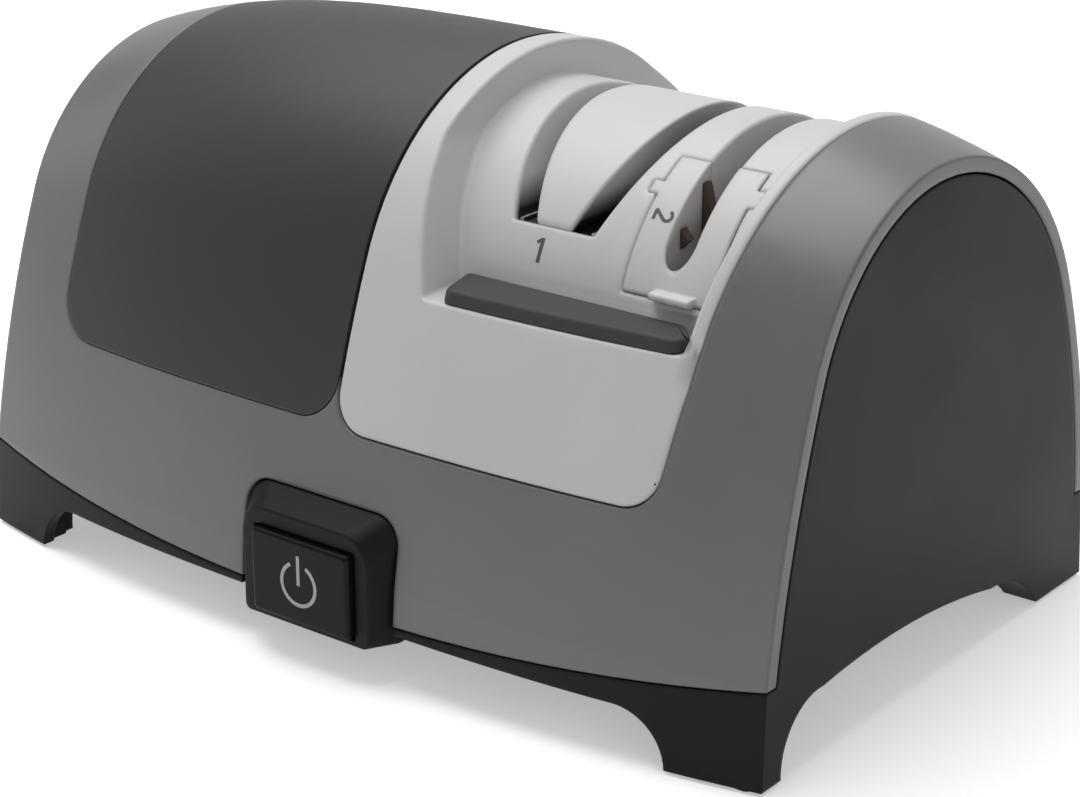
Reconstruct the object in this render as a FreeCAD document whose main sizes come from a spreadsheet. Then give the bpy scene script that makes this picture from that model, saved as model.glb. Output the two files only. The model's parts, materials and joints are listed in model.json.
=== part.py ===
"""Electric knife sharpener, two stages, as separate pieces in one frame.

The frame's origin is on the floor under the middle of the body: X runs along the motor shaft,
Y from front to back and Z up. All sizes are millimetres and degrees.
"""
import FreeCAD, Part
import Sketcher
import math
import os
import re

V = FreeCAD.Vector
AXIS_X = FreeCAD.Rotation(V(0, 1, 0), 90)
AXIS_Y = FreeCAD.Rotation(V(1, 0, 0), -90)

SIZES = {
    # body: an arch carried along X, lower and narrower at both ends
    "body_length": 220.0, "end_lean": 0.021, "crest_height": 123.1, "end_crest_height": 112.1,
    "crest_power": 3.62, "floor_half_depth": 64.0, "shoulder_half_depth": 62.5,
    "shoulder_height": 21.9, "bow_depth": 9.5, "bow_power": 2.7, "arch_radius": 50.2,
    "arch_angle": 68.9,
    # the rear side is fuller than the front
    "rear_floor_half_depth": 68.4, "rear_shoulder_half_depth": 66.9, "rear_bow_depth": 6.0,
    "rear_arch_radius": 59.4, "rear_arch_angle": 67.5,
    # upper shell and the two panels set in its windows
    "shell_wall": 3.2, "panel_wall": 1.8, "panel_seat_gap": 0.2, "panel_edge_gap": 0.3,
    "window_ledge": 2.2, "divide_x": 1.5, "cover_left_x": 87.2, "cover_bottom": 52.0,
    "cover_corner": 10.0, "deck_right_x": 81.2, "deck_right_lean": 0.113, "deck_bottom": 51.0,
    "deck_corner": 8.5,
    # seam between shell and base, and the base with its feet
    "seam_mid_height": 13.8, "seam_end_height": 22.0, "seam_gap": 0.4, "lip_gap": 0.6,
    "base_wall": 3.0, "end_wall": 3.0, "foot_width": 20.4, "skirt_bottom": 12.2,
    "plate_bottom": 12.4, "plate_thickness": 2.0, "plate_gap": 0.3, "plate_ledge": 7.0,
    "foot_lift": 0.8, "pad_length": 15.0, "pad_depth": 6.0, "pad_height": 2.6,
    "pad_inset": 10.5, "front_pad_y": 61.0, "rear_pad_y": 57.5,
    # hump with the knife slots
    "hump_radius": 43.6, "hump_crest": 115.4, "ledge_height": 81.0, "flange_wall_x": 18.6,
    "flange_wall_lean": 0.332, "flange_edge_x": 8.9, "rim_width": 3.4, "deck_wall": 2.4,
    "slot_middle_x": 37.6, "slot_floor": 94.5, "slot_half_length": 36.6, "wedge_half_foot": 4.1,
    "slot_width": 5.9, "slot_slope": 0.39, "well_floor": 2.2, "wedge_gap": 0.3,
    "fine_x": 68.8, "fine_width": 6.8, "fine_floor": 90.0, "fine_front": 38.3, "fine_back": 37.5,
    # blade rest pad
    "rest_left_x": 20.2, "rest_right_x": 79.9, "rest_thickness": 3.0, "rest_chamfer": 4.6,
    "rest_gap": 0.3, "rest_slant": 2.4, "rest_round": 4.4, "rest_front": 52.0,
    # fine-stage cartridge
    "cartridge_left_x": 58.2, "cartridge_right_x": 79.2, "cartridge_bottom": 87.0,
    "cartridge_back_y": 20.4, "cartridge_gap": 0.2, "ear_width": 2.3, "tab_length": 9.8,
    "stone_width": 4.0, "stone_thickness": 2.2, "stone_gap": 0.08,
    "front_stone_y": 29.7, "front_stone_side": 5.1, "front_stone_lift": 7.3,
    "front_stone_length": 6.0, "front_stone_tilt": 45.0,
    "rear_stone_y": 22.1, "rear_stone_side": 3.05, "rear_stone_lift": 9.3,
    "rear_stone_length": 14.0, "rear_stone_tilt": 14.0,
    # shaft line
    "shaft_height": 66.5, "shaft_radius": 4.0, "shaft_left_x": 92.0, "shaft_right_x": 60.5,
    "running_gap": 0.05, "wheel_radius": 32.0, "wheel_thickness": 3.6, "wheel_spread": 10.0,
    "hub_radius": 6.5, "flange_radius": 14.0, "flange_thickness": 3.2, "nut_radius": 9.0,
    "nut_thickness": 4.6, "seat_gap": 0.02,
    # motor
    "stack_x": 46.0, "stack_length": 24.0, "stack_half_depth": 31.0, "stack_bottom": 24.0,
    "stack_top": 92.0, "bore_radius": 17.0, "air_gap": 0.4, "leg_height": 10.0,
    "window_height": 12.0, "window_half_depth": 21.0, "coil_wall": 5.0, "coil_half_depth": 18.0,
    "coil_gap": 0.2, "bracket_thickness": 7.0, "bracket_reach": 6.0, "bracket_half_height": 11.0,
    "bush_radius": 7.0, "fan_x": 84.5, "fan_length": 9.0, "fan_radius": 29.0, "fan_hub": 8.0,
    "fan_blades": 9, "blade_thickness": 1.6, "mount_depth": 8.0, "mount_foot": 3.0,
    # wheel guard and outer bearing
    "guard_left_x": 25.5, "guard_right_x": 50.0, "guard_half_depth": 35.4, "guard_wall": 2.0,
    "guard_gap": 0.3, "guard_hole": 6.0, "pedestal_x": 55.5, "pedestal_thickness": 6.0,
    "pedestal_half_depth": 14.0,
    # switch
    "housing_half_width": 21.2, "housing_face_half_width": 17.6, "housing_bottom": 8.6,
    "housing_top": 36.8, "housing_face_top": 33.4, "housing_front": 75.6, "housing_back": 62.0,
    "housing_shoulder": 69.0, "housing_corner": 6.5, "housing_gap": 0.4,
    "button_width": 27.5, "button_height": 19.2, "button_bottom": 10.2, "button_front": 77.5,
    "button_back": 66.0, "button_gap": 0.35, "button_edge": 1.0, "spring_radius": 3.0,
    "switch_width": 18.0, "switch_height": 12.0, "switch_front": 60.5, "switch_back": 47.0,
    # cord inlet, terminal block and leads
    "gland_x": 68.0, "gland_height": 32.0, "gland_radius": 5.6, "gland_bore": 3.7,
    "gland_back": 77.5, "gland_front": 56.0, "gland_collar": 8.0,
    "block_left_x": 58.0, "block_length": 22.0, "block_depth": 9.0, "block_y": 36.0,
    "block_height": 9.0, "lead_radius": 1.1,
    # fasteners
    "screw_radius": 1.5, "screw_hole": 1.6, "head_radius": 3.0, "head_height": 2.0,
    "plate_screw_x": 62.0, "plate_screw_inset": 6.4, "plate_screw_length": 7.0,
    "shell_screw_inset": 11.5, "shell_screw_y": 48.0, "post_radius": 3.6,
    "shell_screw_bottom": 13.6, "shell_screw_top": 31.0,
}

doc = FreeCAD.newDocument("knife_sharpener")
sheet = doc.addObject("Spreadsheet::Sheet", "Sizes")
for row, (alias, value) in enumerate(SIZES.items(), start=1):
    sheet.set("A%d" % row, alias)
    sheet.set("B%d" % row, str(value))
    sheet.setAlias("B%d" % row, alias)
doc.recompute()

NODES = []


def size(alias):
    return float(sheet.get(alias))


def linked(expression):
    """The expression with each size's name read from the sheet."""
    return re.sub(r"[a-z]+(?:_[a-z]+)+", lambda word: "Sizes." + word.group(0), expression)


def bind(item, **properties):
    for name, expression in properties.items():
        item.setExpression(name, linked(str(expression)))
    return item


def place(item, x="0", y="0", z="0", rotation=None):
    if rotation is not None:
        item.Placement = FreeCAD.Placement(V(0, 0, 0), rotation)
    for axis, expression in (("x", x), ("y", y), ("z", z)):
        item.setExpression("Placement.Base." + axis, linked(str(expression)))
    return item


def node(item, label):
    item.Label = label
    NODES.append(item)
    return item


def box(name, length, depth, height, x, y, z):
    """A block from its low corner."""
    item = bind(doc.addObject("Part::Box", name), Length=length, Width=depth, Height=height)
    return place(item, x, y, z)


def rod_x(name, radius, length, x, y="0", z="shaft_height"):
    item = bind(doc.addObject("Part::Cylinder", name), Radius=radius, Height=length)
    return place(item, x, y, z, AXIS_X)


def rod_y(name, radius, length, x, y, z):
    item = bind(doc.addObject("Part::Cylinder", name), Radius=radius, Height=length)
    return place(item, x, y, z, AXIS_Y)


def rod_z(name, radius, length, x, y, z):
    item = bind(doc.addObject("Part::Cylinder", name), Radius=radius, Height=length)
    return place(item, x, y, z)


def cut(name, base, tool):
    item = doc.addObject("Part::Cut", name)
    item.Base = base
    item.Tool = tool
    return item


def fuse(name, pieces):
    item = doc.addObject("Part::MultiFuse", name)
    item.Shapes = pieces
    return item


def feature(name, shape):
    item = doc.addObject("Part::Feature", name)
    item.Shape = shape
    item.Placement = FreeCAD.Placement()
    return item


def solids_of(shape):
    """The shape with its splitting edges removed, as one solid where it is one."""
    whole = shape.removeSplitter()
    if len(whole.Solids) == 1:
        return whole.Solids[0]
    return whole


# Outer form: one arch section at each station, joined by a smooth loft.

STATIONS = (-1.012, -0.9, -0.73, -0.48, -0.24, 0.0, 0.24, 0.48, 0.73, 0.9, 1.012)
FAR = 140.0
half_length = size("body_length") / 2


def arch_wire(x, inset, bottom):
    """Closed section at x: on each side a crest arc, a tangent flank arc and a near-vertical skirt."""
    share = abs(x) / half_length
    fall = size("crest_height") - size("end_crest_height")
    crest = size("crest_height") - fall * share ** size("crest_power")
    shoulder = size("shoulder_height")
    stretch = (crest - shoulder) / (size("end_crest_height") - shoulder)
    top = V(x, 0, crest - inset)
    edges = []
    feet = []
    for sign, prefix in ((-1, ""), (1, "rear_")):
        bow = bow_at(x, sign)
        arch = size(prefix + "arch_radius")
        angle = math.radians(size(prefix + "arch_angle"))
        end_join = size("end_crest_height") - arch * (1 - math.cos(angle))
        join = V(0, arch * math.sin(angle) * bow, shoulder + (end_join - shoulder) * stretch)
        drop = crest - join.z
        radius = (join.y ** 2 + drop ** 2) / (2 * drop)
        hub = V(0, 0, crest - radius)
        outward = (join - hub) / radius
        low = V(0, size(prefix + "shoulder_half_depth") * bow, shoulder)
        chord = low - join
        flank = chord.dot(chord) / (-2 * outward.dot(chord))
        centre = join - outward * flank
        low_out = (low - centre) / flank
        middle_out = (outward + low_out) / (outward + low_out).Length
        upper_out = (outward + V(0, 0, 1)) / (outward + V(0, 0, 1)).Length
        corners = [V(0, size(prefix + "floor_half_depth") * bow - inset, bottom), low - low_out * inset,
                   centre + middle_out * (flank - inset), join - outward * inset,
                   hub + upper_out * (radius - inset)]
        foot_in, low_in, middle_in, join_in, upper_in = [V(x, sign * p.y, p.z) for p in corners]
        run = [Part.LineSegment(foot_in, low_in).toShape(),
               Part.Arc(low_in, middle_in, join_in).toShape(),
               Part.Arc(join_in, upper_in, top).toShape()]
        edges += run if sign < 0 else run[::-1]
        feet.append(foot_in)
    edges.append(Part.LineSegment(feet[1], feet[0]).toShape())
    return Part.Wire(edges)


def prism_y(points, low=-FAR, high=FAR):
    """A face drawn in X and Z, carried along Y; a point may be an arc's middle, marked True."""
    edges = outline_edges([(V(p[0], low, p[1]), len(p) > 2) for p in points])
    return Part.Face(Part.Wire(edges)).extrude(V(0, high - low, 0))


def prism_x(points, low, high):
    """A face drawn in Y and Z, carried along X."""
    edges = outline_edges([(V(low, p[0], p[1]), len(p) > 2) for p in points])
    return Part.Face(Part.Wire(edges)).extrude(V(high - low, 0, 0))


def prism_z(points, low, high):
    """A face drawn in X and Y, carried along Z."""
    edges = outline_edges([(V(p[0], p[1], low), len(p) > 2) for p in points])
    return Part.Face(Part.Wire(edges)).extrude(V(0, 0, high - low))


def outline_edges(marked):
    edges = []
    count = len(marked)
    index = 0
    while index < count:
        start = marked[index][0]
        after = marked[(index + 1) % count]
        if after[1]:
            stop = marked[(index + 2) % count][0]
            edges.append(Part.Arc(start, after[0], stop).toShape())
            index += 2
        else:
            edges.append(Part.LineSegment(start, after[0]).toShape())
            index += 1
    return edges


def block(x_low, x_high, y_low, y_high, z_low, z_high):
    return Part.makeBox(x_high - x_low, y_high - y_low, z_high - z_low, V(x_low, y_low, z_low))


def cylinder_x(radius, x_low, x_high, y, z):
    return Part.makeCylinder(radius, x_high - x_low, V(x_low, y, z), V(1, 0, 0))


def between_ends(inset=0.0):
    """Everything between the two leaning end planes."""
    lean = size("end_lean")
    low, high = -10.0, FAR
    wide_low = half_length - inset - lean * low
    wide_high = half_length - inset - lean * high
    return prism_y([(-wide_low, low), (wide_low, low), (wide_high, high), (-wide_high, high)])


FORMS = {}


def body_form(inset, bottom=0.0):
    """The whole outer form, drawn in by inset on its arch, cut by the end planes."""
    key = (round(inset, 4), bottom)
    if key not in FORMS:
        wires = [arch_wire(half_length * share, inset, bottom) for share in STATIONS]
        loft = Part.makeLoft(wires, True, False)
        FORMS[key] = loft.common(between_ends())
    return FORMS[key]


def seam_height(x):
    rise = size("seam_end_height") - size("seam_mid_height")
    return size("seam_mid_height") + rise * (x / half_length) ** 2


def above_seam(lift=0.0):
    edge = half_length + 10
    return prism_y([(-edge, FAR), (-edge, seam_height(edge) + lift),
                    (0, seam_height(0) + lift, True), (edge, seam_height(edge) + lift), (edge, FAR)])


def rounded_at(shape, height, radius):
    """The shape with its edges along Y at this height rounded."""
    if radius <= 0:
        return shape
    chosen = []
    for edge in shape.Edges:
        low, high = edge.BoundBox.ZMin, edge.BoundBox.ZMax
        if abs(low - height) < 1e-4 and abs(high - height) < 1e-4 and edge.BoundBox.YLength > FAR:
            chosen.append(edge)
    return shape.makeFillet(radius, chosen)


def cover_outline(inset):
    bottom = size("cover_bottom") + inset
    left = -size("cover_left_x") + inset
    right = size("divide_x") - inset
    lean = size("end_lean") * (FAR - bottom)
    raw = prism_y([(left, bottom), (right, bottom), (right, FAR), (left + lean, FAR)])
    return rounded_at(raw, bottom, size("cover_corner") - inset)


def deck_outline(inset, right_inset):
    bottom = size("deck_bottom") + inset
    left = size("divide_x") + inset
    right = size("deck_right_x") - right_inset
    lean = size("deck_right_lean") * (FAR - bottom)
    raw = prism_y([(left, bottom), (right, bottom), (right + lean, FAR), (left, FAR)])
    return rounded_at(raw, bottom, size("deck_corner") - inset)


def housing_notch(gap):
    """Space that the switch housing takes from the front wall, rounded at the top."""
    middle = size("divide_x")
    wide = size("housing_half_width") + gap
    top = size("housing_top") + gap
    raw = block(middle - wide, middle + wide, -100, -size("housing_back") + 4, -5, top)
    chosen = [edge for edge in raw.Edges if abs(edge.BoundBox.ZMin - top) < 1e-4
              and edge.BoundBox.YLength > 1]
    return raw.makeFillet(size("housing_corner"), chosen)


def front_arch():
    """The low arch between the feet, seen from the front."""
    foot = half_length - size("foot_width")
    top = size("skirt_bottom")
    return prism_y([(-foot, -5), (-foot, 0), (-foot + 3.4, 0.68 * top, True), (-foot + 11.5, top),
                    (foot - 11.5, top), (foot - 3.4, 0.68 * top, True), (foot, 0), (foot, -5)])


def end_arch():
    """The uneven arch between the feet, seen from the end."""
    return prism_x([(-57.0, -5), (-57.0, 0), (-53.6, 10.8, True), (-42.0, 15.4),
                    (-12.0, 16.6, True), (26.0, 11.8), (41.0, 7.2, True), (48.0, 0), (48.0, -5)],
                   -FAR, FAR)


def shell_screw_places():
    x = half_length - size("shell_screw_inset")
    return [(sx * x, sy * size("shell_screw_y")) for sx in (-1, 1) for sy in (-1, 1)]


def bow_at(x, side):
    """How much deeper the body is at x than at its ends, on the front (-1) or rear (1) side."""
    prefix = "rear_" if side > 0 else ""
    share = abs(x) / half_length
    return 1 + size(prefix + "bow_depth") / size(prefix + "floor_half_depth") * (1 - share ** size("bow_power"))


def skirt_y(x, z, side):
    """Where the body's skirt stands, below its shoulder, on the front or rear side."""
    prefix = "rear_" if side > 0 else ""
    floor = size(prefix + "floor_half_depth")
    taper = (floor - size(prefix + "shoulder_half_depth")) / size("shoulder_height")
    return side * (floor - taper * z) * bow_at(x, side)


def plate_screw_places():
    x = size("plate_screw_x")
    middle = size("plate_bottom") + size("plate_screw_length") / 2
    return [(sx * x, skirt_y(x, middle, side) - side * size("plate_screw_inset"))
            for sx in (-1, 1) for side in (-1, 1)]


def make_upper_shell():
    skin = body_form(0.0).cut(body_form(size("shell_wall"), -1.0)).common(above_seam())
    floor_form = body_form(size("panel_wall") + size("panel_seat_gap"), -1.0)
    skin = skin.cut(cover_outline(0.0).cut(floor_form))
    skin = skin.cut(deck_outline(0.0, 0.0).cut(floor_form))
    ledge = size("window_ledge")
    skin = skin.cut(cover_outline(ledge)).cut(deck_outline(ledge, 0.0))
    skin = skin.cut(housing_notch(size("housing_gap")))
    bore = Part.makeCylinder(size("gland_radius") + 0.3, 30,
                             V(size("gland_x"), size("gland_front"), size("gland_height")), V(0, 1, 0))
    skin = skin.cut(bore)
    roof = body_form(size("shell_wall") - 0.5, -1.0)
    bottom = seam_height(half_length) + size("seam_gap")
    for x, y in shell_screw_places():
        post = Part.makeCylinder(size("post_radius"), FAR, V(x, y, bottom)).common(roof)
        hole = Part.makeCylinder(size("screw_hole"), size("shell_screw_top") - bottom + 1, V(x, y, bottom))
        skin = skin.fuse(post).cut(hole)
    return solids_of(skin)


def make_base_housing():
    gap = size("seam_gap")
    edge = half_length + 10
    below = prism_y([(-edge, -5), (edge, -5), (edge, seam_height(edge) - gap),
                     (0, seam_height(0) - gap, True), (-edge, seam_height(edge) - gap)])
    body = body_form(0.0).common(below)
    panel_inset = size("shell_wall") + size("lip_gap")
    inner_ends = between_ends(size("end_wall"))
    panel = body_form(panel_inset, 0.0).cut(inner_ends)
    body = body.fuse(panel)
    inside = body_form(size("base_wall"), -1.0)
    narrow = body_form(size("base_wall") + size("plate_ledge"), -1.0)
    foot = half_length - size("foot_width") + 2
    plate_top = size("plate_bottom") + size("plate_thickness")
    body = body.cut(inside.common(block(-foot, foot, -FAR, FAR, -1, plate_top + size("plate_gap"))))
    body = body.cut(narrow.common(block(-foot, foot, -FAR, FAR, 0, FAR)))
    above = block(-FAR, FAR, -FAR, FAR, size("seam_end_height") - gap, FAR)
    body = body.cut(narrow.common(inner_ends).common(above))
    body = body.cut(block(-FAR, FAR, -FAR, FAR, -5, size("foot_lift")))
    body = body.cut(front_arch()).cut(end_arch()).cut(housing_notch(size("housing_gap")))
    for x, y in shell_screw_places():
        hole = Part.makeCylinder(size("screw_hole"), FAR, V(x, y, -1))
        well = Part.makeCylinder(size("head_radius") + 0.3, size("shell_screw_bottom") + 3, V(x, y, -1))
        body = body.cut(hole).cut(well)
    for x, y in plate_screw_places():
        hole = Part.makeCylinder(size("screw_hole"), 9, V(x, y, plate_top - 1))
        body = body.cut(hole)
    for x, y in pad_places():
        body = body.cut(pad_block(x, y, size("pad_height"), 0.1))
    return solids_of(body)


def pad_places():
    x = half_length - size("pad_inset")
    return [(sx * x, y) for sx in (-1, 1) for y in (-size("front_pad_y"), size("rear_pad_y"))]


def pad_block(x, y, top, gap=0.0):
    length = size("pad_length") / 2 + gap
    depth = size("pad_depth") / 2 + gap
    raw = block(x - length, x + length, y - depth, y + depth, 0, top)
    return raw.makeFillet(1.5, [e for e in raw.Edges if e.BoundBox.ZLength > 1])


def make_rubber_feet():
    return Part.makeCompound([pad_block(x, y, size("pad_height") - 0.1) for x, y in pad_places()])


def make_bottom_plate():
    bottom = size("plate_bottom")
    top = bottom + size("plate_thickness")
    foot = half_length - size("foot_width") + 2 - size("plate_gap")
    stations = [foot * share for share in (-1, -0.66, -0.33, 0, 0.33, 0.66, 1)]
    inset = size("base_wall") + size("plate_gap")
    sides = []
    for side in (-1, 1):
        curve = Part.BSplineCurve()
        curve.interpolate([V(x, skirt_y(x, top, side) - side * inset, bottom) for x in stations])
        sides.append(curve.toShape())
    front, rear = sides
    ends = [Part.LineSegment(rear.Vertexes[i].Point, front.Vertexes[i].Point).toShape() for i in (0, 1)]
    plate = Part.Face(Part.Wire(Part.__sortEdges__([rear, ends[0], front, ends[1]])))
    plate = plate.extrude(V(0, 0, top - bottom))
    plate = plate.cut(housing_notch(size("housing_gap")))
    for x, y in plate_screw_places():
        plate = plate.cut(Part.makeCylinder(size("screw_hole"), 20, V(x, y, bottom - 5)))
        plate = plate.cut(Part.makeCylinder(size("head_radius") + 0.2, 1.0, V(x, y, bottom)))
    for x, y in mount_screw_places():
        plate = plate.cut(Part.makeCylinder(size("screw_hole"), 20, V(x, y, bottom - 5)))
    return solids_of(plate)


def screw(x, y, seat, length, head_side=-1):
    """A pan-head screw whose head is below its seat, or above it where head_side is 1."""
    head_height = size("head_height")
    low = seat if head_side > 0 else seat - head_height
    head = Part.makeCylinder(size("head_radius"), head_height, V(x, y, low))
    shank = Part.makeCylinder(size("screw_radius"), length, V(x, y, seat), V(0, 0, -head_side))
    outer = seat + head_side * head_height
    inner = outer - head_side * 1.0
    slot = block(x - 0.4, x + 0.4, y - 2, y + 2, min(outer, inner), max(outer, inner))
    cross = block(x - 2, x + 2, y - 0.4, y + 0.4, min(outer, inner), max(outer, inner))
    return head.fuse(shank).cut(slot).cut(cross).removeSplitter()


def make_shell_screws():
    seat = size("shell_screw_bottom") + 2
    length = size("shell_screw_top") - seat
    return Part.makeCompound([screw(x, y, seat, length) for x, y in shell_screw_places()])


def make_plate_screws():
    seat = size("plate_bottom") + 1.0
    length = size("plate_screw_length")
    return Part.makeCompound([screw(x, y, seat, length) for x, y in plate_screw_places()])


def mount_screw_places():
    reach = size("stack_length") / 2 + 5
    y = size("stack_half_depth") - size("mount_depth") / 2
    return [(-size("stack_x") + sx * reach, sy * y) for sx in (-1, 1) for sy in (-1, 1)]


def make_mount_screws():
    seat = size("plate_bottom") + size("plate_thickness") + size("mount_foot")
    return Part.makeCompound([screw(x, y, seat, size("mount_foot") + size("plate_thickness"), 1)
                              for x, y in mount_screw_places()])


def make_motor_cover():
    gap = size("panel_edge_gap")
    cover = body_form(0.0).cut(body_form(size("panel_wall"), -1.0)).common(cover_outline(gap))
    return solids_of(cover)


hump_axis = size("hump_crest") - size("hump_radius")


def hump(shrink=0.0):
    return cylinder_x(size("hump_radius") - shrink, -20, 130, 0, hump_axis)


def recess(grow):
    """Space cut into the deck above the ledge, right of the flange and round the hump."""
    bottom = size("ledge_height") - grow
    lean = size("flange_wall_lean")
    left_low = size("flange_wall_x") - grow
    left_top = size("flange_edge_x") - grow
    left_bend = bottom + (left_low - left_top) / lean
    slope = size("deck_right_lean")
    right_low = size("deck_right_x") + slope * (bottom - size("deck_bottom")) - size("rim_width") + grow * 0.7
    right_top = right_low + slope * (FAR - bottom)
    raw = prism_y([(left_low, bottom), (right_low, bottom), (right_top, FAR), (left_top, FAR),
                    (left_top, left_bend)])
    return rounded_at(raw, bottom, 1.2).cut(hump(grow))


def coarse_window(gap=0.0, width=None):
    """Both coarse slots and the wedge between them: a trapezoid, wider at the top."""
    if width is None:
        width = size("slot_width")
    half_low = size("wedge_half_foot") + width - gap
    middle = size("slot_middle_x")
    bottom = size("slot_floor")
    rise = FAR - bottom
    half_top = half_low + size("slot_slope") * rise
    long = size("slot_half_length") - gap
    return prism_y([(middle - half_low, bottom), (middle + half_low, bottom),
                    (middle + half_top, FAR), (middle - half_top, FAR)], -long, long)


def fine_slot(y_low, y_high):
    half = size("fine_width") / 2
    x = size("fine_x")
    return block(x - half, x + half, y_low, y_high, size("fine_floor"), FAR)


def fine_end(y):
    """Round end of the fine slot."""
    half = size("fine_width") / 2
    return Part.makeCylinder(half, FAR, V(size("fine_x"), y, size("fine_floor")))


def cartridge_space(grow):
    """The cartridge's block with its two ears, which its pocket repeats a little larger."""
    left = size("cartridge_left_x") - grow
    right = size("cartridge_right_x") + grow
    bottom = size("cartridge_bottom") - grow
    back = -size("cartridge_back_y") + grow
    ear = size("ear_width")
    body = block(left, right, -60, back, bottom, FAR)
    right_ear = block(right - 1, right + ear, -28.0 - grow, -24.6 + grow, bottom, FAR)
    left_ear = block(left - ear, left + 1, -28.6 - grow, -26.4 + grow, bottom, FAR)
    return body.fuse([right_ear, left_ear]).removeSplitter()


def make_sharpening_deck():
    gap = size("panel_edge_gap")
    wall = size("panel_wall")
    body = body_form(0.0).common(deck_outline(gap, gap))
    under = body_form(wall, -1.0).cut(recess(size("deck_wall")))
    body = body.cut(recess(0.0)).cut(under)
    inner = hump(1.0)
    floor = size("slot_floor") - size("well_floor")
    middle = size("slot_middle_x")
    long = size("slot_half_length") + 2.0
    fine_half = size("fine_width") / 2 + 3.2
    fine_x = size("fine_x")
    wells = [
        block(middle - 20.5, middle + 15.0, -long, long, floor, FAR),
        block(fine_x - fine_half, fine_x + fine_half, -22, size("fine_back") + 2, size("fine_floor") - 2.4, FAR),
        block(size("cartridge_left_x") - 5.4, size("cartridge_right_x") + 4.6, -42, -18,
              size("cartridge_bottom") - 2.4, FAR),
    ]
    for well in wells:
        body = body.fuse(well.common(inner))
    reach = size("wheel_spread") / 2 + 2.0
    body = body.cut(block(middle - reach, middle + reach, -19, 19, floor - 5, size("slot_floor") + 1))
    body = body.cut(coarse_window())
    half = size("fine_width") / 2
    body = body.cut(fine_slot(-30, size("fine_back") - half)).cut(fine_end(size("fine_back") - half))
    body = body.cut(cartridge_space(size("cartridge_gap")))
    return solids_of(body)


def make_coarse_guide_wedge():
    gap = size("wedge_gap")
    body = coarse_window(gap, 0.0 + gap).common(hump())
    middle = size("slot_middle_x")
    reach = size("wheel_spread") / 2 + 0.8
    pocket = cylinder_x(size("wheel_radius") + 1.2, middle - reach, middle + reach, 0, size("shaft_height"))
    return solids_of(body.cut(pocket))


def make_blade_rest_pad():
    ledge = size("ledge_height")
    top = ledge + size("rest_thickness")
    back = -(math.sqrt(size("hump_radius") ** 2 - (ledge - hump_axis) ** 2) + size("rest_gap"))
    left, right = size("rest_left_x"), size("rest_right_x")
    chamfer = size("rest_chamfer")
    corner = size("rest_round")
    front = -size("rest_front")
    near = corner * (1 - math.sqrt(0.5))
    slant = size("rest_slant") * (-FAR - back) / (front - back)
    outline = prism_z([(left, back), (left + slant, -FAR), (right - corner, -FAR), (right - corner, front),
                       (right - near, front + near, True), (right, front + corner), (right, back - chamfer),
                       (right - chamfer, back)], ledge, top)
    return solids_of(body_form(0.1).common(outline))


STONES = ("front_stone", "rear_stone")


def stone_bar(name, grow):
    """A flat ceramic bar set in the slot's wall, its edge leaning out across the slot."""
    half = size("stone_width") / 2 + grow
    reach = size(name + "_length") / 2 + grow
    angle = math.radians(size(name + "_tilt"))
    along = (-math.sin(angle), math.cos(angle))
    across = (math.cos(angle), math.sin(angle))
    middle = (size("fine_x") - size(name + "_side"), size("fine_floor") + size(name + "_lift"))
    corners = [(middle[0] + a * half * across[0] + b * reach * along[0],
                middle[1] + a * half * across[1] + b * reach * along[1])
               for a, b in ((-1, -1), (1, -1), (1, 1), (-1, 1))]
    y = -size(name + "_y")
    thick = size("stone_thickness") / 2 + grow
    return prism_y(corners, y - thick, y + thick)


def make_fine_cartridge():
    body = cartridge_space(0.0).common(hump())
    x = size("fine_x")
    tab = size("tab_length") / 2
    bottom = size("cartridge_bottom")
    lip = block(x + 2.2 - tab, x + 2.2 + tab, -43.0, -39.5, bottom, bottom + 1.7)
    lip = lip.makeFillet(0.7, [e for e in lip.Edges if e.BoundBox.XLength > 2 and e.BoundBox.YMax < -42])
    body = body.fuse(lip)
    front = -size("fine_front") + size("fine_width") / 2
    body = body.cut(fine_slot(front, 0)).cut(fine_end(front))
    for name in STONES:
        body = body.cut(stone_bar(name, size("stone_gap")))
    hole = Part.makeCylinder(1.2, 10, V(x, front, bottom - 5))
    return solids_of(body.cut(hole))


def make_cartridge_screw():
    front = -size("fine_front") + size("fine_width") / 2
    x = size("fine_x")
    floor = size("fine_floor")
    head = Part.makeCylinder(2.2, 1.2, V(x, front, floor))
    shank = Part.makeCylinder(1.1, floor - size("cartridge_bottom"), V(x, front, size("cartridge_bottom")))
    cross = block(x - 1.4, x + 1.4, front - 0.3, front + 0.3, floor + 0.6, floor + 2)
    slot = block(x - 0.3, x + 0.3, front - 1.4, front + 1.4, floor + 0.6, floor + 2)
    return solids_of(head.fuse(shank).cut(cross).cut(slot))


def rounded_front(half_width, low, high, y, corner):
    """A rounded rectangle in the plane at y, centred on the controls."""
    middle = size("divide_x")
    small = 1.5
    diagonal = corner * (1 - math.sqrt(0.5))
    short = small * (1 - math.sqrt(0.5))
    left, right = middle - half_width, middle + half_width
    points = [
        (left + small, low), (right - small, low), (right - short, low + short, True), (right, low + small),
        (right, high - corner), (right - diagonal, high - diagonal, True), (right - corner, high),
        (left + corner, high), (left + diagonal, high - diagonal, True), (left, high - corner),
        (left, low + small), (left + short, low + short, True),
    ]
    return Part.Wire(outline_edges([(V(p[0], y, p[1]), len(p) > 2) for p in points]))


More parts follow.
